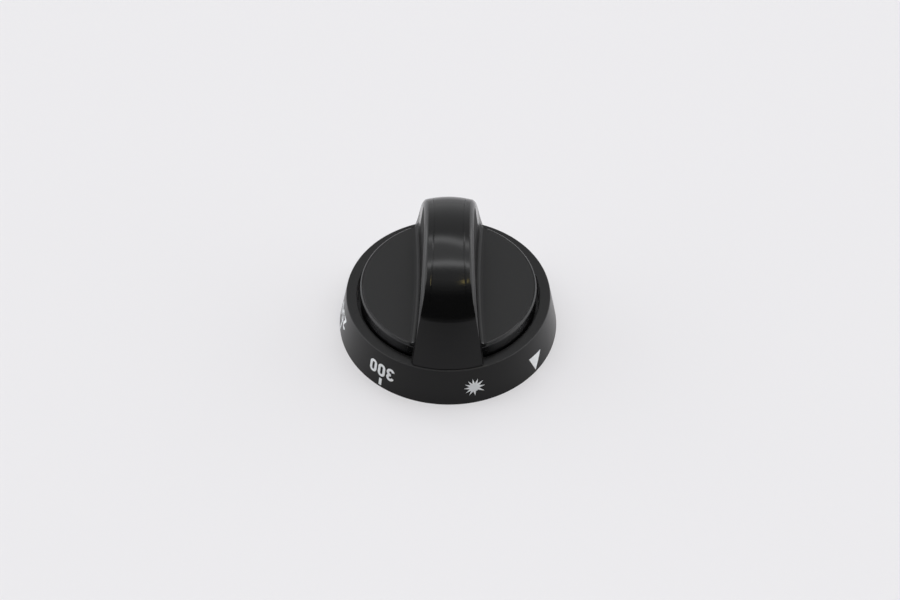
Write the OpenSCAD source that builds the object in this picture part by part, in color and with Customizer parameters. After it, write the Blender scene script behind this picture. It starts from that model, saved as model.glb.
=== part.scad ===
// Control knob for a kitchen appliance: a dial ring with a sloping skirt, a bar grip moulded with the disc
// inside it, and a spring band that clamps the grip's split hub on a shaft with one flat.
// Millimetres. The knob stands on its rim at z = 0, its turning axis is Z, and the bar runs along Y.

/* [Dial ring] */
// Diameter over the skirt at the rim
rim_d = 70; // [67:0.5:90]
// Diameter of the flat top at its outer edge
ring_top_d = 65; // [63:0.5:67]
// Height of the ring's flat top
ring_h = 13.3; // [12:0.1:13.5]
// Diameter of the opening that the disc sits in
ring_hole_d = 57.9; // [57:0.1:60]
// Wall of the skirt, square to its face
skirt_wall = 2.2; // [1.2:0.1:4]
// Radius on the ring's top edges
ring_edge = 0.4; // [0.1:0.05:1]
// Height of the shelf that carries the disc
shelf_z = 9.6; // [5:0.1:12]
// Thickness of the shelf
shelf_t = 1.6; // [1:0.1:3]
// Diameter of the opening through the shelf
shelf_hole_d = 50.8; // [36:0.1:56]
// Number of gussets under the shelf
gussets = 12; // [4:1:24]
// Thickness of a gusset
gusset_t = 1.2; // [0.8:0.1:3]

/* [Disc] */
// Diameter of the raised disc
disc_d = 56.1; // [54:0.1:57.5]
// Height of the disc's flat face
disc_h = 17.5; // [12:0.1:24]
// Radius on the disc's edge
disc_edge = 1; // [0.2:0.05:2]
// Thickness of the disc's plate and rim wall
disc_wall = 2.2; // [1.2:0.1:4]

/* [Bar grip] */
// Height of the bar's crown over the rim
grip_h = 42; // [30:0.5:60]
// Radius of the bar's feet on the ring's top
foot_r = 32; // [30:0.1:34]
// Gap between a foot and the ring's top
foot_gap = 0.2; // [0.05:0.05:0.4]
// Half the width of a foot
foot_w = 11.2; // [10:0.1:16]
// Radius on a foot's corners
foot_corner = 1.5; // [0.5:0.1:4]
// Angle of the end slopes to the ring's top
slope = 68.5; // [68.5:0.5:69]
// Length of the straight part of an end slope
slope_len = 16; // [12:0.5:18]
// Radius of the shoulders between the slopes and the crown
shoulder_r = 18; // [12:0.5:30]
// Half the width of the bar at the disc, at its middle
waist = 8.9; // [6:0.1:14]
// Draft of the bar's sides
side_draft = 3.2; // [0:0.1:8]
// Radius of the hollow sweep of the bar's sides
sweep_r = 300; // [120:10:800]
// Half the width at the middle of the sides that flare out to the feet
flare_waist = 7.35; // [6.5:0.05:8.5]
// Draft of the flared sides
flare_draft = 2.9; // [0:0.1:8]
// Radius of the flared sides' sweep
flare_r = 118; // [100:2:250]
// Radius of the fillet between the bar's sides and the disc
side_fillet = 2.6; // [0.5:0.1:4]
// Wall of the hollow bar
bar_wall = 2.2; // [1.2:0.1:4]

/* [Rounded edges of the bar] */
// Radius of the bar's rounded long edges along the crown
edge_r = 2.6; // [1.5:0.1:3]
// Distance of the leaning plates that round the edges from the axis, at the base
edge_x = 12.6; // [12.2:0.1:13.5]
// Lean of those plates towards each other
edge_lean = 6.9; // [6:0.1:8]
// Radius of a plate's outline at its foot
edge_foot_r = 31.7; // [31:0.1:33]
// Height of that foot
edge_foot_z = 14.65; // [14.4:0.05:15.5]
// Angle of the outline's end slopes
edge_slope = 66.8; // [64:0.1:68.5]
// Length of the straight part of those slopes
edge_slope_len = 15.35; // [15:0.05:17]
// Radius of the outline's shoulders
edge_shoulder_r = 19.4; // [19:0.1:22]
// Height of the outline's crown along the plate
edge_crown = 42.3; // [42:0.1:43]

/* [Hub] */
// Diameter of the shaft that the hub takes
shaft_d = 8; // [5:0.1:12]
// Thickness of the shaft across its flat
shaft_flat = 6.5; // [4:0.1:11]
// Outside diameter of the hub
hub_d = 14; // [10:0.1:20]
// Height of the hub's mouth over the rim's plane
hub_z = 1.5; // [0:0.1:6]
// Depth of the shaft hole
hub_depth = 18; // [8:0.5:30]
// Length of the shaft hole's round mouth
socket_round = 8; // [6:0.5:12]
// Width of the two slots that split the hub
hub_slot = 1.2; // [0.6:0.1:3]
// Depth of those slots
slot_depth = 12; // [4:0.5:20]
// Thickness of the webs under the disc and in the bar
web_t = 1.6; // [1.2:0.1:2.4]

/* [Spring band] */
// Thickness of the spring steel
band_t = 0.8; // [0.5:0.1:1.2]
// Width of the band
band_w = 6; // [4:0.5:8]
// Opening between the band's ends
band_gap = 4; // [2:0.5:6]

/* [Snap hooks] */
// Width of a hook along the ring
hook_w = 7; // [5:0.5:9]
// Thickness of a hook's arm
hook_t = 1.6; // [1.2:0.1:2.2]
// Reach of a hook's barb under the shelf
hook_reach = 1.1; // [0.7:0.1:1.5]

/* [Hidden] */
$fn = 120;
rim_r = rim_d / 2;
top_r = ring_top_d / 2;
hole_r = ring_hole_d / 2;
disc_r = disc_d / 2;
hub_r = hub_d / 2;
shaft_r = shaft_d / 2;
seat_r = shelf_hole_d / 2;
foot_z = ring_h + foot_gap;
skirt_a = atan2(rim_r - top_r, ring_h);
hook_r = seat_r - 0.2;
// Underside of the disc's plate
plate_z = disc_h - disc_wall;
// Half the length of the hollow in the bar, and the place of the cross ribs in it
hollow_y = disc_r - 1.2;
rib_y = 15;
// Keys under the feet: width, outer radius, gap round them in the ring's slots
key_w = 8;
key_r = 30.4;
key_gap = 0.15;
// Socket: play round the spindle in its depth, width of a crush rib, depth of the lead-in
bore_play = 0.25;
rib_w = 0.8;
lead_in = 0.8;
// How far pieces reach into one another so that they join
lap = 0.3;
// How far the shoulders of the edges' outline stand out from its slopes and crown
edge_lift = 0.08;

// Radius of the skirt's outer face at a height
function skirt_r(z) = rim_r - (rim_r - top_r) * z / ring_h;

// A dome's outline is a straight slope, a shoulder arc and a crown arc whose centre is on the axis.
// v holds foot radius, foot height, slope angle, slope length, shoulder radius, crown height.
function slope_top(v) = [v[0] - v[3] * cos(v[2]), v[1] + v[3] * sin(v[2])];
function shoulder_c(v) = slope_top(v) - v[4] * [sin(v[2]), cos(v[2])];
function crown_r(v) =
    let (c = shoulder_c(v), q = c[1] - v[5])
    (v[4] * v[4] - c[0] * c[0] - q * q) / (2 * (q + v[4]));
function crown_z(v) = v[5] - crown_r(v);
function crown_a(v) = atan2(shoulder_c(v)[0], shoulder_c(v)[1] - crown_z(v));

outer = [foot_r, foot_z, slope, slope_len, shoulder_r, grip_h];
edge = [edge_foot_r, edge_foot_z, edge_slope, edge_slope_len, edge_shoulder_r, edge_crown];
inner = [foot_r - bar_wall * sin(slope), foot_z - bar_wall * cos(slope), slope, slope_len,
         shoulder_r - bar_wall, grip_h - bar_wall];

// What a rounded corner takes off: the wedge between two directions from c, outside the circle
module round_off(c, r, a0, a1) {
    m = (a0 + a1) / 2;
    translate(c) difference() {
        polygon([[0, 0], 3 * r * [cos(a0), sin(a0)], 5 * r * [cos(m), sin(m)], 3 * r * [cos(a1), sin(a1)]]);
        circle(r, $fn = 120);
    }
}

// Half of a dome's section, on the positive side of the axis, from height z0 up
module dome_half(v, z0) {
    b = [v[0] + (v[1] - z0) / tan(v[2]), z0];
    t = [v[0] - (v[5] + 2 - v[1]) / tan(v[2]), v[5] + 2];
    difference() {
        intersection() {
            polygon([[0, z0], b, t, [0, v[5] + 2]]);
            translate([0, crown_z(v)]) circle(crown_r(v), $fn = 240);
        }
        round_off(shoulder_c(v), v[4], 90 - v[2], 90 - crown_a(v));
    }
}

module dome(v, z0) {
    rotate_extrude($fn = 180) dome_half(v, z0);
}

// Plan of the bar: the disc, and a strip with rounded corners that reaches the feet
module bar_plan() {
    x = foot_w - foot_corner;
    y = sqrt(pow(foot_r - foot_corner, 2) - x * x);
    circle(disc_r - disc_edge);
    difference() {
        intersection() {
            circle(foot_r);
            square([2 * foot_w, 2 * foot_r], center = true);
        }
        for (sx = [0, 1], sy = [0, 1]) mirror([sx, 0]) mirror([0, sy])
            round_off([x, y], foot_corner, 0, atan2(y, x));
    }
}

// All that lies inside one side of a bar: a broad cone, half wide at the disc's face
module flank(half, sweep, draft, z0) {
    zt = grip_h + 4;
    far = sweep + top_r;
    a = asin((foot_r + 6) / sweep);
    translate([sweep + half, 0, 0]) rotate([0, 0, 180 - a]) rotate_extrude(angle = 2 * a, $fn = 900)
        polygon([[sweep + (z0 - disc_h) * tan(draft), z0], [far, z0], [far, zt],
                 [sweep + (zt - disc_h) * tan(draft), zt]]);
}

// All that lies between both sides
module flanks(half, sweep, draft, z0) {
    intersection() {
        flank(half, sweep, draft, z0);
        rotate([0, 0, 180]) flank(half, sweep, draft, z0);
    }
}

// The curve between one side of the bar and the disc, cut off at the disc's edge
module blend() {
    steps = 6;
    z0 = disc_h - 0.05;
    out = sweep_r + side_fillet + lap;
    c = [sweep_r + side_fillet * tan(side_draft) - side_fillet / cos(side_draft), z0 + side_fillet];
    curve = [for (i = [0:steps]) let (a = -90 + (90 - side_draft) * i / steps)
             c + side_fillet * [cos(a), sin(a)]];
    intersection() {
        translate([sweep_r + waist, 0, 0]) rotate([0, 0, 174]) rotate_extrude(angle = 12, $fn = 900)
            polygon(concat(curve, [[out, c[1]], [out, z0 - lap], [c[0], z0 - lap]]));
        cylinder(r = disc_r - disc_edge / 2, h = grip_h, $fn = 180);
    }
}

// Section of what rounds an edge: all that lies outside a plate whose rim, rounded on one side, is at x = rim
module edge_section(rim) {
    c = rim - edge_r;
    far = rim + 9;
    difference() {
        polygon([[c, lap], [c, 5], [far, 5], [far, -edge_r - 0.5], [rim + lap, -edge_r - 0.5], [c, -edge_r]]);
        translate([c, -edge_r]) circle(edge_r, $fn = 90);
    }
}

// That section along an arc round c, from a0 to a1 degrees off the upright
module edge_arc(c, r, a0, a1) {
    translate(c) rotate([0, 0, 90 - a1]) rotate_extrude(angle = a1 - a0, $fn = 240) edge_section(r);
}

// What rounds one long edge of the bar: crown, shoulders and slopes of the leaning plate's outline
module edge_round() {
    p = slope_top(edge);
    c = shoulder_c(edge);
    a = crown_a(edge);
    m = (a + edge_slope) / 2;
    q = c + edge_lift * [sin(m), cos(m)];
    over = 8;
    translate([edge_x, 0, 0]) rotate([0, -edge_lean, 0]) rotate([90, 0, 90]) {
        edge_arc([0, crown_z(edge)], crown_r(edge), -a - 20, a + 20);
        for (s = [-1, 1]) {
            edge_arc([s * q[0], q[1]], edge_shoulder_r, s > 0 ? a : -edge_slope, s > 0 ? edge_slope : -a);
            translate([s * p[0], p[1]]) rotate([0, 0, 90 - s * edge_slope])
                translate([0, s > 0 ? over : edge_slope_len + over, 0]) rotate([90, 0, 0])
                    linear_extrude(edge_slope_len + 2 * over) edge_section(0);
        }
    }
}

// The bar, whose ends reach down to the ring outside the disc
module bar() {
    difference() {
        intersection() {
            dome(outer, foot_z);
            linear_extrude(grip_h + 2) bar_plan();
            union() {
                flanks(waist, sweep_r, side_draft, foot_z - 1);
                flanks(flare_waist, flare_r, flare_draft, foot_z - 1);
            }
        }
        edge_round();
        rotate([0, 0, 180]) edge_round();
        cylinder(r = disc_r - 1, h = disc_h - 0.5);
    }
    blend();
    rotate([0, 0, 180]) blend();
}

// The hollow inside the bar, open to the underside of the disc
module bar_hollow() {
    z = plate_z - 1;
    intersection() {
        dome(inner, z);
        flanks(waist - bar_wall, sweep_r, side_draft, z);
        translate([-foot_r, -hollow_y, 0]) cube([2 * foot_r, 2 * hollow_y, 2 * grip_h]);
    }
}

// Ring with its skirt, the shelf for the disc, the slots for the keys and the gussets
module dial_ring() {
    color([0.09, 0.09, 0.095]) {
        difference() {
            rotate_extrude($fn = 180) ring_section();
            for (a = [0, 180]) rotate([0, 0, a]) translate([-key_w / 2 - key_gap, hole_r - 1, shelf_z])
                cube([key_w + 2 * key_gap, key_r + key_gap - hole_r + 1, ring_h]);
        }
        intersection() {
            rotate_extrude($fn = 180) gusset_section();
            for (i = [0 : gussets - 1]) rotate([0, 0, (i + 0.5) * 360 / gussets])
                translate([0, -gusset_t / 2, 0]) cube([rim_r, gusset_t, ring_h]);
        }
    }
}

module ring_section() {
    w = skirt_wall / cos(skirt_a);
    e = ring_edge;
    zt = shelf_z - shelf_t;
    difference() {
        polygon([[rim_r - w, 0], [rim_r, 0], [top_r, ring_h], [hole_r, ring_h], [hole_r, shelf_z],
                 [seat_r, shelf_z], [seat_r, zt], [skirt_r(zt) - w, zt]]);
        round_off([skirt_r(ring_h - e) - e / cos(skirt_a), ring_h - e], e, skirt_a, 90);
        round_off([hole_r + e, ring_h - e], e, 90, 180);
    }
}

// Outline of a gusset between the shelf and the skirt
module gusset_section() {
    w = skirt_wall / cos(skirt_a);
    zt = shelf_z - shelf_t;
    polygon([[seat_r + 2, zt + 0.4], [seat_r + 2, zt - 1.2], [rim_r - w - 2.4, 1.6], [rim_r - w + 0.3, 1.6],
             [skirt_r(zt) - w + 0.6, zt + 0.4]]);
}

// Disc with its rim wall
module disc_body() {
    rotate_extrude($fn = 180) difference() {
        polygon([[0, plate_z], [0, disc_h], [disc_r, disc_h], [disc_r, shelf_z],
                 [disc_r - disc_wall, shelf_z], [disc_r - disc_wall, plate_z]]);
        round_off([disc_r - disc_edge, disc_h - disc_edge], disc_edge, 0, 90);
    }
}

// Keys under the bar's ends that sit in the ring's slots
module keys() {
    for (a = [0, 180]) rotate([0, 0, a]) translate([-key_w / 2, disc_r - 1, shelf_z + lap])
        cube([key_w, key_r - disc_r + 1, foot_z - shelf_z]);
}

module hub_solid() {
    translate([0, 0, hub_z]) cylinder(r = hub_r, h = hub_z + hub_depth + 6);
    // Collar that the spring band stops against
    translate([0, 0, hub_z + 2 + band_w]) cylinder(r = hub_r + band_t, h = 12);
}

module hub_bore() {
    z = hub_z + socket_round;
    // Round mouth that the spring band squeezes onto the spindle, with a small lead-in
    translate([0, 0, hub_z - 1]) cylinder(r = shaft_r, h = socket_round + 1);
    translate([0, 0, hub_z - 0.01]) cylinder(r1 = shaft_r + 0.6, r2 = shaft_r - 0.2, h = lead_in);
    // D-shaped depth, a little wider than the spindle, with three crush ribs
    difference() {
        intersection() {
            translate([0, 0, z - 0.2]) cylinder(r = shaft_r + bore_play, h = hub_z + hub_depth - z + 0.2);
            translate([-shaft_r - 1, -shaft_r - 1, 0]) cube([2 * shaft_r + 2, shaft_flat + 1, 60]);
        }
        for (a = [215, 270, 325]) rotate([0, 0, a])
            translate([shaft_r, -rib_w / 2, z]) cube([2, rib_w, hub_depth]);
    }
    translate([-hub_slot / 2, -hub_r - 3, hub_z - 1]) cube([hub_slot, 2 * hub_r + 6, slot_depth + 1]);
}

// Webs from the hub to the rim wall, and the ribs inside the bar
module webs() {
    for (a = [0, 30, -30, 180, 150, 210]) rotate([0, 0, a])
        translate([hub_r - 1, -web_t / 2, shelf_z])
            cube([disc_r - disc_wall + lap - hub_r + 1, web_t, plate_z + lap - shelf_z]);
    intersection() {
        translate([0, 0, -0.8]) dome(outer, 1);
        union() {
            translate([-web_t / 2, -hollow_y - lap, plate_z + lap])
                cube([web_t, 2 * (hollow_y + lap), grip_h]);
            for (y = [-rib_y, rib_y]) translate([-foot_w, y - web_t / 2, plate_z + lap])
                cube([2 * foot_w, web_t, grip_h]);
        }
        flanks(waist - 1, sweep_r, side_draft, plate_z);
    }
}

// Hook that snaps under the ring's shelf
module hook() {
    r0 = hook_r - hook_t;
    zu = shelf_z - shelf_t - 0.15;
    a = hook_w / hook_r * 180 / PI;
    rotate([0, 0, -a / 2]) rotate_extrude(angle = a, $fn = 180)
        polygon([[r0, plate_z + lap], [hook_r, plate_z + lap], [hook_r, zu], [hook_r + hook_reach, zu],
                 [hook_r + hook_reach, zu - 0.5], [hook_r - 0.4, zu - 2.6], [r0, zu - 2.6]]);
}

// Disc, bar, feet, hub, webs and hooks, moulded as one piece
module grip() {
    color([0.12, 0.12, 0.125]) {
        difference() {
            union() {
                difference() {
                    union() {
                        disc_body();
                        bar();
                        keys();
                    }
                    bar_hollow();
                }
                hub_solid();
                webs();
                for (a = [60, 120, 240, 300]) rotate([0, 0, a]) hook();
            }
            hub_bore();
        }
    }
}

// Open band of spring steel that squeezes the split end of the hub
module hub_band() {
    color([0.62, 0.63, 0.65])
        difference() {
            translate([0, 0, hub_z + 2]) cylinder(r = hub_r + band_t, h = band_w);
            translate([0, 0, hub_z + 1]) cylinder(r = hub_r, h = band_w + 2);
            translate([hub_r - 3, -band_gap / 2, hub_z + 1]) cube([6, band_gap, band_w + 2]);
        }
}

dial_ring();
grip();
hub_band();
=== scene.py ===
import math
import bpy
import bmesh
from mathutils import Vector, Matrix


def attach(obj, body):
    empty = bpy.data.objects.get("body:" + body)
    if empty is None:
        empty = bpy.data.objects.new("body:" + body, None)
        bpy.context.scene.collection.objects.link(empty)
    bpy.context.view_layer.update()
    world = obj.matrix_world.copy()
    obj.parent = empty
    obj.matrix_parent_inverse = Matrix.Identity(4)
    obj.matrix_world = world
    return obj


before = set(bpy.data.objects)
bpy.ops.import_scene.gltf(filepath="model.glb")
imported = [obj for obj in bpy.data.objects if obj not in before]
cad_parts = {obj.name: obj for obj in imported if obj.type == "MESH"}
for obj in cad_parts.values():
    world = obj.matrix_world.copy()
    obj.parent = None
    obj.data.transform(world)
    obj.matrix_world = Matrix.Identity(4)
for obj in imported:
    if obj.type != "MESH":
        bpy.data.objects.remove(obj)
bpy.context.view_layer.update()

scene = bpy.context.scene
scene.view_settings.view_transform = "Standard"

# A millimetre, in metres
MM = 0.001
# The skirt in mm: its radius at the rim and at the top, and its height. LEAN is its wall's lean, in radians.
RIM_R, TOP_R, RING_H = 35.0, 32.5, 13.3
LEAN = math.atan2(RIM_R - TOP_R, RING_H)

# Camera
# Fitted to the photo: how far it looks down and how far it rolls, in degrees; how far the knob's origin lies
# to the right of its axis, above it and away along it, in mm; and its focal length in pixels of the photo
DOWN, ROLL = 47.967, -0.605
ORIGIN_RIGHT, ORIGIN_UP, ORIGIN_AWAY = -0.624, -6.639, 652.6
FOCAL, PHOTO_WIDTH = 2018.0, 900.0
# Its sensor's width in mm, and the nearest and the furthest that it sees, in metres
SENSOR = 36.0
CLIP_START, CLIP_END = 0.02, 50.0


def make_camera():
    """The camera at the photo's viewing angle, before the knob and looking down at it."""
    down, roll = math.radians(DOWN), math.radians(ROLL)
    sin_down, cos_down = math.sin(down), math.cos(down)
    sin_roll, cos_roll = math.sin(roll), math.cos(roll)
    right = Vector((cos_roll, -sin_roll * sin_down, -sin_roll * cos_down))
    up = Vector((sin_roll, cos_roll * sin_down, cos_roll * cos_down))
    ahead = Vector((0, cos_down, -sin_down))
    place = -ORIGIN_RIGHT * right - ORIGIN_UP * up - ORIGIN_AWAY * ahead
    data = bpy.data.cameras.new("camera")
    data.sensor_width = SENSOR
    data.lens = SENSOR * FOCAL / PHOTO_WIDTH
    data.clip_start, data.clip_end = CLIP_START, CLIP_END
    camera = bpy.data.objects.new("camera", data)
    turn = Matrix((right, up, -ahead)).transposed().to_4x4()
    camera.matrix_world = Matrix.Translation(place * MM) @ turn
    scene.collection.objects.link(camera)
    scene.camera = camera


make_camera()

# Node helpers
# A Mix node's sockets for colours: its factor, its two colours and its result
MIX_FACTOR, MIX_A, MIX_B, MIX_RESULT = 0, 6, 7, 2


class Tree:
    """A node tree, emptied, with short ways to add nodes and to join them."""

    def __init__(self, tree):
        self.t = tree
        self.n = tree.nodes
        for node in list(self.n):
            self.n.remove(node)

    def add(self, kind):
        return self.n.new(kind)

    def link(self, a, b):
        self.t.links.new(a, b)

    def put(self, socket, value):
        """Join a value that is a socket, or set one that is a number or a colour."""
        if isinstance(value, bpy.types.NodeSocket):
            self.link(value, socket)
        else:
            socket.default_value = value

    def math(self, op, a, b=None):
        node = self.add("ShaderNodeMath")
        node.operation = op
        self.put(node.inputs[0], a)
        if b is not None:
            self.put(node.inputs[1], b)
        return node.outputs[0]

    def times(self, a, b):
        return self.math("MULTIPLY", a, b)

    def plus(self, a, b):
        return self.math("ADD", a, b)

    def most(self, a, b):
        return self.math("MAXIMUM", a, b)

    def size(self, a):
        """A value without its sign."""
        return self.math("ABSOLUTE", a)

    def inverse(self, a):
        """What a value lacks to 1."""
        return self.math("SUBTRACT", 1.0, a)

    def ramp(self, value, lo, hi, out0=0.0, out1=1.0):
        """A smooth step from out0 at lo to out1 at hi. It also runs down, where hi is below lo."""
        node = self.add("ShaderNodeMapRange")
        node.interpolation_type = "SMOOTHSTEP"
        for i, v in enumerate((value, lo, hi, out0, out1)):
            self.put(node.inputs[i], v)
        return node.outputs[0]

    def fall(self, value, lo, hi):
        """A smooth step from 1 at lo to 0 at hi."""
        return self.ramp(value, lo, hi, 1.0, 0.0)

    def between(self, value, rise, fall):
        """1 between a rise and a fall, each given by where it starts and where it ends."""
        return self.times(self.ramp(value, *rise), self.fall(value, *fall))

    def mix(self, factor, a, b):
        node = self.add("ShaderNodeMix")
        node.data_type = "RGBA"
        self.put(node.inputs[MIX_FACTOR], factor)
        self.put(node.inputs[MIX_A], a)
        self.put(node.inputs[MIX_B], b)
        return node.outputs[MIX_RESULT]

    def noise(self, vector, scale, detail, rough):
        node = self.add("ShaderNodeTexNoise")
        self.link(vector, node.inputs["Vector"])
        node.inputs["Scale"].default_value = scale
        node.inputs["Detail"].default_value = detail
        node.inputs["Roughness"].default_value = rough
        return node.outputs[0]

    def place(self):
        """Where on the object a point lies, in metres."""
        return self.add("ShaderNodeTexCoord").outputs["Object"]

    def parts(self, vector):
        """A vector's x, y and z."""
        node = self.add("ShaderNodeSeparateXYZ")
        self.link(vector, node.inputs[0])
        return node.outputs


def new_material(name):
    mat = bpy.data.materials.new(name)
    mat.use_nodes = True
    return mat, Tree(mat.node_tree)


def principled(name):
    """A new material, its tree, and the Principled shader that is its surface."""
    mat, t = new_material(name)
    out = t.add("ShaderNodeOutputMaterial")
    shader = t.add("ShaderNodeBsdfPrincipled")
    t.link(shader.outputs[0], out.inputs[0])
    return mat, t, shader


# Materials
# Noise, each as its scale per metre, its detail and its roughness: the plastics' clouds and moulded grain,
# the fine texture of the smooth faces' gloss, the steel's drawn lines, and the ink's patches
CLOUD, GRAIN, FINE = (90.0, 3.0, 0.6), (3800.0, 2.0, 0.6), (1500.0, 3.0, 0.65)
LINES, PATCH = (700.0, 4.0, 0.6), (1100.0, 3.0, 0.6)
# How far the clouds and the fine texture change the roughness, how high the grain stands in mm, and how much
# of it the smooth faces lack
CLOUD_ROUGH, FINE_ROUGH = 0.10, 0.04
GRAIN_MM, GRAIN_LESS = 0.010, 0.85
# The plastics' black, from the darkest cloud to the palest, and the paler colour painted on round edges as a
# highlight
BLACK_DEEP, BLACK_PALE = (0.0028, 0.0028, 0.0029, 1), (0.0040, 0.0040, 0.0041, 1)
PAINTED_EDGE_HIGHLIGHT = (0.040, 0.040, 0.041, 1)
SHEEN_ROUGH = 0.3
# Each pair from here to BAR_FALL is where a smooth step starts and where it ends, with lengths in metres.
# What is above BAR_UP is taken as the bar, and so is what is further out than END_OUT and above END_UP: the
# bar's ends over the ring, and with them the last millimetre of the disc's edge.
BAR_UP = (0.01960, 0.02040)
END_OUT, END_UP = (0.02700, 0.02720), (0.0130, 0.0134)
# The bar's sides are textured where their normal points this much across, and rougher than the disc by
# SIDE_MORE. They lean in by SIDE_LEAN for each metre of height, and the bar's ends by END_LEAN. With the lean
# made good, the texture starts SIDE_OFF from the middle plane, and stops at SIDE_END, short of the ends.
SIDE_TURNED, SIDE_MORE = (0.90, 0.96), 0.30
SIDE_LEAN, SIDE_OFF = 0.121, (0.0102, 0.0105)
END_LEAN, SIDE_END = 0.394, (0.0290, 0.0302)
# Round edges get a painted highlight, a paler base colour, between a rise and a fall of their normal's upward
# part. On the grip that is the disc's edge alone, further than RIM_OFF from the middle plane and below
# RIM_UP.
EDGE_RISE, EDGE_FALL = (0.22, 0.40), (0.80, 0.96)
RIM_OFF, RIM_UP = (0.0114, 0.0122), (0.0176, 0.0178)
# The bar's long edges get the painted highlight between a rise and a fall of their normal's part across
BAR_RISE, BAR_FALL = (0.35, 0.60), (0.78, 0.94)
# The spring steel: how much closer its lines lie up the band than round it, the two colours that they run
# between, and the two tones of them over which its roughness grows from the first value to the second
DRAWN = (1.0, 1.0, 14.0)
STEEL_DARK, STEEL_PALE = (0.42, 0.42, 0.43, 1), (0.58, 0.58, 0.59, 1)
STEEL_TONES, STEEL_ROUGH = (0.2, 0.8), (0.22, 0.40)
INK_GREY, INK_WHITE = (0.77, 0.79, 0.80, 1), (0.90, 0.92, 0.93, 1)
INK_ROUGH = 0.5


def bar_masks(t, x, y, z, turned):
    """On the grip: where the bar is, and where on it the textured sides are."""
    radius = t.math("POWER", t.plus(t.math("POWER", x, 2.0), t.math("POWER", y, 2.0)), 0.5)
    up = t.ramp(z, *BAR_UP)
    ends = t.times(t.ramp(radius, *END_OUT), t.ramp(z, *END_UP))
    past_edge = t.ramp(t.plus(t.size(x), t.times(z, SIDE_LEAN)), *SIDE_OFF)
    short_of_end = t.fall(t.plus(t.size(y), t.times(z, END_LEAN)), *SIDE_END)
    side = t.times(t.ramp(turned, *SIDE_TURNED), past_edge)
    side = t.times(side, t.times(up, short_of_end))
    return t.most(up, ends), side


def plastic(name, satin, ior, sheen, gloss=None):
    """Black moulded plastic. satin is the roughness of its fine-textured faces. gloss is given for the grip
    alone: it is the lower roughness of the bar's smooth faces."""
    mat, t, shader = principled(name)
    co = t.place()
    x, y, z = t.parts(co)
    across, _, upward = t.parts(t.add("ShaderNodeNewGeometry").outputs["Normal"])
    cloud = t.noise(co, *CLOUD)
    rough = t.plus(t.times(cloud, CLOUD_ROUGH), satin - CLOUD_ROUGH / 2)
    grain = t.times(t.noise(co, *GRAIN), GRAIN_MM)
    # Painted highlight: round edges get a paler base colour that stands in for the light lines along them
    painted_edge_highlight = t.between(upward, EDGE_RISE, EDGE_FALL)
    if gloss:
        turned = t.size(across)
        bar, side = bar_masks(t, x, y, z, turned)
        # On the grip the painted highlight keeps to the disc's edge, and the bar's long edges get it too
        painted_edge_highlight = t.times(painted_edge_highlight, t.times(t.ramp(t.size(x), *RIM_OFF), t.fall(z, *RIM_UP)))
        painted_edge_highlight = t.most(painted_edge_highlight, t.times(t.between(turned, BAR_RISE, BAR_FALL), bar))
        smooth = t.times(bar, t.inverse(side))
        low = t.plus(t.times(t.noise(co, *FINE), FINE_ROUGH), gloss - FINE_ROUGH / 2)
        rough = t.plus(t.times(rough, t.inverse(smooth)), t.times(low, smooth))
        rough = t.plus(rough, t.times(side, SIDE_MORE))
        grain = t.times(grain, t.inverse(t.times(smooth, GRAIN_LESS)))
    bump = t.add("ShaderNodeBump")
    bump.inputs["Distance"].default_value = MM
    bump.inputs["Strength"].default_value = 1.0
    t.link(grain, bump.inputs["Height"])
    t.link(bump.outputs[0], shader.inputs["Normal"])
    black = t.mix(cloud, BLACK_DEEP, BLACK_PALE)
    # The painted edge highlight is mixed into the black base colour here
    t.link(t.mix(painted_edge_highlight, black, PAINTED_EDGE_HIGHLIGHT), shader.inputs["Base Color"])
    t.link(rough, shader.inputs["Roughness"])
    shader.inputs["IOR"].default_value = ior
    shader.inputs["Sheen Weight"].default_value = sheen
    shader.inputs["Sheen Roughness"].default_value = SHEEN_ROUGH
    return mat


def spring_steel():
    """Bright steel with fine lines drawn round the band."""
    mat, t, shader = principled("spring_steel")
    stretch = t.add("ShaderNodeMapping")
    stretch.inputs["Scale"].default_value = DRAWN
    t.link(t.place(), stretch.inputs["Vector"])
    lines = t.noise(stretch.outputs[0], *LINES)
    t.link(t.mix(lines, STEEL_DARK, STEEL_PALE), shader.inputs["Base Color"])
    t.link(t.ramp(lines, *STEEL_TONES, *STEEL_ROUGH), shader.inputs["Roughness"])
    shader.inputs["Metallic"].default_value = 1.0
    return mat


def print_ink():
    """Off-white ink with slightly greyer patches."""
    mat, t, shader = principled("print_ink")
    patch = t.noise(t.place(), *PATCH)
    t.link(t.mix(patch, INK_GREY, INK_WHITE), shader.inputs["Base Color"])
    shader.inputs["Roughness"].default_value = INK_ROUGH
    return mat


def set_material(obj, mat):
    obj.data.materials.clear()
    obj.data.materials.append(mat)


ring_mat = plastic("ring_plastic", satin=0.30, ior=1.31, sheen=0.10)
grip_mat = plastic("grip_plastic", satin=0.40, ior=1.34, sheen=0.0, gloss=0.15)
steel_mat = spring_steel()
ink_mat = print_ink()
for name, mat in (("dial_ring", ring_mat), ("grip", grip_mat), ("hub_band", steel_mat)):
    set_material(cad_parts[name], mat)

# The scale printed on the skirt
# A place on it is an angle in degrees from the front, growing to the right, and a way up its slope from the
# rim in mm. The ink lies this many mm above the skirt.
INK_UP = 0.012
# The numbers: the first one's angle, and the step to the left to the next; how far up their middle is, the
# angle between two digits, the width of a stroke in mm, and the longest that a piece of one may be
SCALE = ("300", "250", "200", "150", "100")
SCALE_START, SCALE_STEP = -37.6, 45.5
DIGIT_UP, DIGIT_PITCH, STROKE, STROKE_PIECE = 6.65, 5.7, 0.96, 0.35
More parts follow.
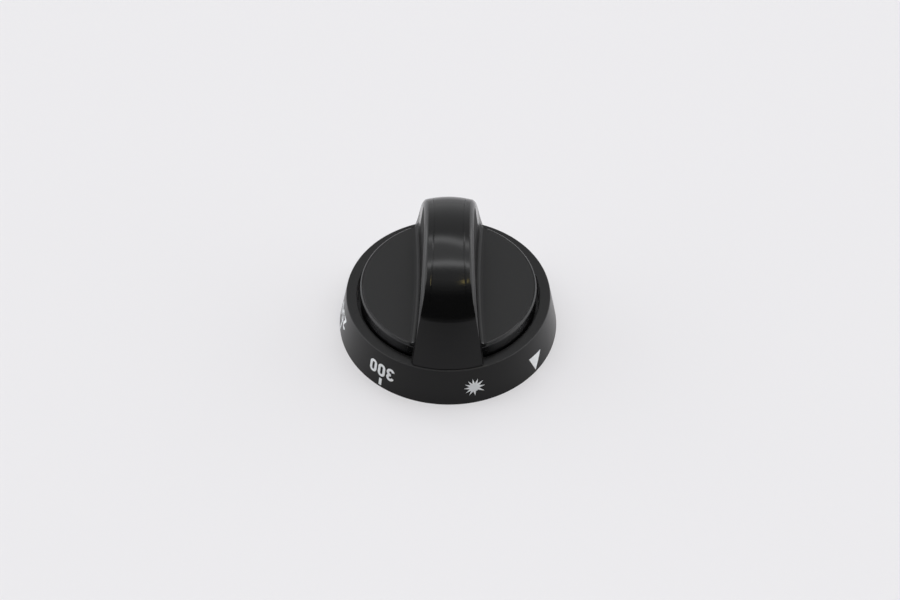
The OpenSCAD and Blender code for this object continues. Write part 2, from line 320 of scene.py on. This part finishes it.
# The ticks: how far one is to the right of its number's middle; where it starts and ends up the slope, its
# width, and how far up that is measured; how many faces it has across and along
TICK_PAST = 0.1
TICK_START, TICK_END, TICK_WIDTH, TICK_UP = 0.7, 3.4, 1.05, 2.0
TICK_ACROSS, TICK_ALONG = 4, 6
# A zero's half height and half width to its stroke's middle, and the steps along each half round and side
ZERO_HIGH, ZERO_WIDE = 1.98, 0.92
ZERO_ROUND, ZERO_SIDE = 14, 6
# The star's middle, its tips in mm from there, clockwise from the top, and how far from it the hollows
# between them are. The hollow after the tip of index WIDE_GAP has three corners, the middle one further out.
STAR_ANGLE, STAR_UP = 14.4, 6.1
STAR_TIPS = ((-0.50, 3.45), (1.25, 3.22), (3.05, 2.25), (3.45, 0.10), (3.12, -2.08), (0.15, -3.35),
             (-1.72, -2.90), (-2.85, -1.85), (-3.42, -0.05), (-3.00, 1.62), (-1.95, 2.75))
STAR_HOLLOW, STAR_FURTHER, WIDE_GAP = 1.62, 0.12, 4
# The triangle's corners on the skirt, and the strips that the star and the triangle are cut into
TRIANGLE = ((59.66, 6.34), (49.22, 6.91), (53.13, 0.73))
STAR_STRIPS, TRIANGLE_STRIPS = 18, 12


def skirt_radius(s):
    """The skirt's outer radius in mm, s mm up the slope from the rim."""
    return RIM_R - s * math.sin(LEAN)


def on_skirt(angle, s):
    """The point of the ink's face at a place on the skirt, in metres."""
    r = skirt_radius(s)
    a = math.radians(angle)
    n = Vector((math.cos(LEAN) * math.sin(a), -math.cos(LEAN) * math.cos(a), math.sin(LEAN)))
    p = Vector((r * math.sin(a), -r * math.cos(a), s * math.cos(LEAN)))
    return (p + n * INK_UP) * MM


def arc(cx, cy, rx, ry, a0, a1, n):
    """An elliptic arc about (cx, cy), from a0 to a1 degrees in n steps."""
    angles = [math.radians(a0 + (a1 - a0) * i / n) for i in range(n + 1)]
    return [(cx + rx * math.cos(a), cy + ry * math.sin(a)) for a in angles]


def stroke(path, width, closed):
    """Quads along a centre line, as (points, faces) in the plane."""
    n = len(path)
    pts, faces = [], []
    for i, (x, y) in enumerate(path):
        before = path[(i - 1) % n] if closed or i > 0 else path[i]
        after = path[(i + 1) % n] if closed or i < n - 1 else path[i]
        dx, dy = after[0] - before[0], after[1] - before[1]
        length = math.hypot(dx, dy)
        nx, ny = -dy / length * width / 2, dx / length * width / 2
        pts += [(x + nx, y + ny), (x - nx, y - ny)]
    for i in range(n if closed else n - 1):
        j = (i + 1) % n
        faces.append((2 * i, 2 * i + 1, 2 * j + 1, 2 * j))
    return pts, faces


def zero():
    """The centre line of a zero, anticlockwise from its right side."""
    straight = ZERO_HIGH - ZERO_WIDE
    side = [straight * (1 - 2 * k / ZERO_SIDE) for k in range(1, ZERO_SIDE)]
    top = arc(0, straight, ZERO_WIDE, ZERO_WIDE, 0, 180, ZERO_ROUND)
    bottom = arc(0, -straight, ZERO_WIDE, ZERO_WIDE, 180, 360, ZERO_ROUND)
    left = [(-ZERO_WIDE, y) for y in side]
    right = [(ZERO_WIDE, -y) for y in side]
    return top + left + bottom + right


def digit_strokes(ch):
    """Centre lines of a bold condensed digit 4.8 mm high, as (path, closed), in mm from its middle."""
    if ch == "0":
        return [(zero(), True)]
    if ch == "3":
        upper = arc(-0.04, 1.05, 0.92, 0.93, 172, -68, 18) + [(0.12, 0.10), (-0.28, 0.08)]
        lower = [(-0.28, 0.08), (0.12, 0.06)] + arc(-0.04, -1.0, 0.96, 0.98, 66, -172, 20)
        return [(upper, False), (lower, False)]
    if ch == "2":
        top = arc(0, 1.06, 0.92, 0.92, 172, -22, 16)
        tail = [(0.62, 0.28), (0.20, -0.35), (-0.28, -1.02), (-0.72, -1.62), (-0.90, -1.98)]
        foot = [(-1.30, -1.98), (-0.4, -1.98), (0.5, -1.98), (1.28, -1.98)]
        return [(top + tail, False), (foot, False)]
    if ch == "5":
        flag = [(1.12, 1.98), (0.2, 1.98), (-0.86, 1.98)]
        stem = [(-0.80, 2.30), (-0.84, 1.4), (-0.92, 0.22)]
        bowl = [(-0.92, 0.25)] + arc(-0.06, -0.72, 1.0, 1.26, 122, -160, 20)
        return [(flag, False), (stem, False), (bowl, False)]
    if ch == "1":
        stem = [(0.30, 2.40), (0.30, 0.8), (0.30, -0.8), (0.30, -2.40)]
        flag = [(0.34, 1.98), (-0.18, 1.52), (-0.72, 1.22)]
        return [(stem, False), (flag, False)]
    raise ValueError(ch)


def refine(path, closed):
    """The path with its sides cut so that none is longer than STROKE_PIECE."""
    out = []
    n = len(path)
    for i in range(n if closed else n - 1):
        (x0, y0), (x1, y1) = path[i], path[(i + 1) % n]
        k = max(1, math.ceil(math.hypot(x1 - x0, y1 - y0) / STROKE_PIECE))
        out += [(x0 + (x1 - x0) * j / k, y0 + (y1 - y0) * j / k) for j in range(k)]
    if not closed:
        out.append(path[-1])
    return out


def add_shape(bm, pts, faces, place):
    """Flat points and faces added to a mesh, with place giving where each point goes on the skirt."""
    vs = [bm.verts.new(place(x, y)) for x, y in pts]
    for f in faces:
        bm.faces.new([vs[i] for i in f])


def add_number(bm, text, centre):
    """A number whose tops point to the rim, read from the right to the left round the skirt."""
    for i, ch in enumerate(text):
        mid = centre + ((len(text) - 1) / 2 - i) * DIGIT_PITCH

        def place(x, y):
            return on_skirt(mid - math.degrees(x / skirt_radius(DIGIT_UP)), DIGIT_UP - y)

        for path, closed in digit_strokes(ch):
            add_shape(bm, *stroke(refine(path, closed), STROKE, closed), place)


def add_tick(bm, centre):
    """A tick: a plain rectangle on the skirt, as a grid of quads so that it bends round it."""
    half = math.degrees(TICK_WIDTH / 2 / skirt_radius(TICK_UP))
    n, m = TICK_ACROSS, TICK_ALONG
    pts = [(centre - half + 2 * half * i / n, TICK_START + (TICK_END - TICK_START) * j / m)
           for j in range(m + 1) for i in range(n + 1)]
    corners = [j * (n + 1) + i for j in range(m) for i in range(n)]
    faces = [(k, k + 1, k + n + 2, k + n + 1) for k in corners]
    add_shape(bm, pts, faces, on_skirt)


def filled(bm, outline, place, strips):
    """A flat filled outline, cut into strips so that it bends round the skirt."""
    part = bmesh.new()
    part.faces.new([part.verts.new((x, y, 0)) for x, y in outline])
    xs = [x for x, _ in outline]
    lo, hi = min(xs), max(xs)
    for k in range(1, strips):
        geom = part.verts[:] + part.edges[:] + part.faces[:]
        cut = (lo + (hi - lo) * k / strips, 0, 0)
        bmesh.ops.bisect_plane(part, geom=geom, plane_co=cut, plane_no=(1, 0, 0))
    bmesh.ops.triangulate(part, faces=part.faces[:])
    copies = {v: bm.verts.new(place(v.co.x, v.co.y)) for v in part.verts}
    for f in part.faces:
        bm.faces.new([copies[v] for v in f.verts])
    part.free()


def star(bm):
    """A star of eleven uneven rays, with a wide gap where a twelfth would be."""
    outline = []
    for i, (x, y) in enumerate(STAR_TIPS):
        outline.append((x, y))
        x2, y2 = STAR_TIPS[(i + 1) % len(STAR_TIPS)]
        a, b = math.atan2(y, x), math.atan2(y2, x2)
        while b > a:
            b -= 2 * math.pi
        hollows = [((a + b) / 2, STAR_HOLLOW)]
        if i == WIDE_GAP:
            hollows = [(a + (b - a) * share, STAR_HOLLOW + more)
                       for share, more in ((0.25, 0), (0.5, STAR_FURTHER), (0.75, 0))]
        outline += [(far * math.cos(angle), far * math.sin(angle)) for angle, far in hollows]

    def place(x, y):
        return on_skirt(STAR_ANGLE + math.degrees(x / skirt_radius(STAR_UP)), STAR_UP + y)

    filled(bm, outline, place, STAR_STRIPS)


def triangle(bm):
    filled(bm, TRIANGLE, on_skirt, TRIANGLE_STRIPS)


def printed(name, build):
    """One printed piece, which build makes. It faces outward and moves with the knob."""
    bm = bmesh.new()
    build(bm)
    bmesh.ops.recalc_face_normals(bm, faces=bm.faces[:])
    for f in bm.faces:
        middle = f.calc_center_median()
        if f.normal.dot(Vector((middle.x, middle.y, 0))) < 0:
            f.normal_flip()
        f.smooth = True
    mesh = bpy.data.meshes.new(name)
    bm.to_mesh(mesh)
    bm.free()
    obj = bpy.data.objects.new(name, mesh)
    scene.collection.objects.link(obj)
    set_material(obj, ink_mat)
    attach(obj, "root")


def figure(text, centre):
    """What makes a number of the scale, with its tick."""
    def build(bm):
        add_number(bm, text, centre)
        add_tick(bm, centre + TICK_PAST)
    return build


for i, text in enumerate(SCALE):
    printed("figure_" + text, figure(text, SCALE_START - SCALE_STEP * i))
printed("star_mark", star)
printed("triangle_mark", triangle)

# Floor and world
# The floor's paper, its even backdrop colour, and the shade that it falls off into before the knob. It does
# so between these two places, and reaches this far each way, in metres.
PAPER, BACKDROP = (0.80, 0.795, 0.815, 1), (0.815, 0.806, 0.822, 1)
SHADE = (0.22, 0.22, 0.22, 1)
PAPER_END, PAPER_FADE, FLOOR = -0.55, -0.12, 5.0
PAPER_ROUGH, PAPER_SPECULAR = 0.9, 0.2
# How much of the floor's tone is its own even backdrop colour, so that shadows stay faint as in the photo
EVEN = 0.48
# The room is dark before the knob. Its other parts are given by how bright they are, where 1 is white, and
# by angles from the front horizon over the zenith, in degrees: where the walls rise, or a band's start, its
# end, and how soft both are.
DARK, ROOM_COLOUR = 0.06, (0.98, 0.985, 1.0, 1)
WALL, WALL_RISE = 0.72, (46, 92)
BACK, BACK_RISE = 0.9, (150, 180)
CEILING, CEILING_BAND = 0.84, (94, 127, 4)
NEAR_LAMP, NEAR_BAND = 4.2, (94.5, 99.5, 2)
FAR_LAMP, FAR_BAND = 2.7, (119, 125, 3)
SIDE_LAMP, SIDE_BAND = 0.9, (82, 108, 5)
# How far to either side the long lamps end, the side lamps start and end, and the side walls rise: 0 is the
# middle plane, and 1 straight to the side. The far lamp is turned by FAR_TURN radians over that, and the
# side walls reach further in by SIDES_IN, from these angles on.
LAMP_END = (0.50, 0.32)
SIDE_START, SIDE_STOP = (0.40, 0.60), (0.90, 0.75)
SIDES, SIDES_RISE = 2.0, (0.75, 1.0)
FAR_TURN = 0.24
SIDES_IN, IN_RISE = 0.25, (115, 150)
# A small warm lamp over the front: its direction, its strength, its colour and its radius in degrees
WARM_AT, WARM = (0.28, -0.22, 1.0), 8.0
WARM_COLOUR, WARM_RADIUS = (1.0, 0.80, 0.25, 1), 4.5


def make_floor():
    """A sheet of pale paper that falls off into shade in front of what the camera sees."""
    mesh = bpy.data.meshes.new("floor")
    corners = [(-FLOOR, -FLOOR, 0), (FLOOR, -FLOOR, 0), (FLOOR, FLOOR, 0), (-FLOOR, FLOOR, 0)]
    mesh.from_pydata(corners, [], [(0, 1, 2, 3)])
    floor = bpy.data.objects.new("floor", mesh)
    scene.collection.objects.link(floor)
    mat, t = new_material("floor_paper")
    out = t.add("ShaderNodeOutputMaterial")
    _, y, _ = t.parts(t.place())
    on_paper = t.ramp(y, PAPER_END, PAPER_FADE)
    paper = t.add("ShaderNodeBsdfPrincipled")
    t.link(t.mix(on_paper, SHADE, PAPER), paper.inputs["Base Color"])
    paper.inputs["Roughness"].default_value = PAPER_ROUGH
    paper.inputs["Specular IOR Level"].default_value = PAPER_SPECULAR
    backdrop = t.add("ShaderNodeEmission")
    backdrop.inputs["Color"].default_value = BACKDROP
    backdrop.inputs["Strength"].default_value = 1.0
    ray = t.add("ShaderNodeLightPath").outputs
    seen = t.most(ray["Is Camera Ray"], t.most(ray["Is Glossy Ray"], ray["Is Transmission Ray"]))
    both = t.add("ShaderNodeMixShader")
    t.link(t.times(t.times(seen, on_paper), EVEN), both.inputs[0])
    t.link(paper.outputs[0], both.inputs[1])
    t.link(backdrop.outputs[0], both.inputs[2])
    t.link(both.outputs[0], out.inputs[0])
    mesh.materials.append(mat)


def room_light(t, x, y, z):
    """How bright the plain room is each way: dark before the knob, a bright ceiling with two long lamps over
    and behind it and two side lamps, and pale walls at the back and the sides."""
    tilt = t.math("ARCTAN2", z, t.times(y, -1.0))
    across = t.size(x)

    def rise(start, end, angle=tilt):
        return t.ramp(angle, math.radians(start), math.radians(end))

    def band(start, end, soft, angle=tilt):
        past_end = rise(end - soft, end + soft, angle)
        return t.times(rise(start - soft, start + soft, angle), t.inverse(past_end))

    walls = t.plus(t.times(rise(*WALL_RISE), WALL), t.times(rise(*BACK_RISE), BACK - WALL))
    ceiling = t.times(band(*CEILING_BAND), CEILING)
    near_lamp = t.times(band(*NEAR_BAND), NEAR_LAMP)
    turned = t.plus(tilt, t.times(x, FAR_TURN))
    far_lamp = t.times(band(*FAR_BAND, turned), FAR_LAMP)
    lamps = t.times(t.plus(near_lamp, far_lamp), t.ramp(across, *LAMP_END))
    wide = t.times(t.ramp(across, *SIDE_START), t.ramp(across, *SIDE_STOP))
    side_lamps = t.times(t.times(band(*SIDE_BAND), wide), SIDE_LAMP)
    reach = t.plus(across, t.times(rise(*IN_RISE), SIDES_IN))
    sides = t.times(t.ramp(reach, *SIDES_RISE), SIDES)
    level = t.plus(t.plus(walls, ceiling), t.plus(lamps, side_lamps))
    return t.plus(t.most(level, sides), DARK)


def make_world():
    """The room's light, and a small warm lamp in it."""
    world = bpy.data.worlds.new("studio")
    scene.world = world
    world.use_nodes = True
    t = Tree(world.node_tree)
    out = t.add("ShaderNodeOutputWorld")
    co = t.add("ShaderNodeTexCoord").outputs["Generated"]
    room = t.add("ShaderNodeBackground")
    room.inputs["Color"].default_value = ROOM_COLOUR
    t.link(room_light(t, *t.parts(co)), room.inputs["Strength"])
    toward = t.add("ShaderNodeVectorMath")
    toward.operation = "DOT_PRODUCT"
    t.link(co, toward.inputs[0])
    toward.inputs[1].default_value = Vector(WARM_AT).normalized()
    edge = math.cos(math.radians(WARM_RADIUS))
    warm = t.add("ShaderNodeBackground")
    warm.inputs["Color"].default_value = WARM_COLOUR
    t.link(t.times(t.ramp(toward.outputs["Value"], edge, 1.0), WARM), warm.inputs["Strength"])
    both = t.add("ShaderNodeAddShader")
    t.link(room.outputs[0], both.inputs[0])
    t.link(warm.outputs[0], both.inputs[1])
    t.link(both.outputs[0], out.inputs[0])


make_floor()
make_world()
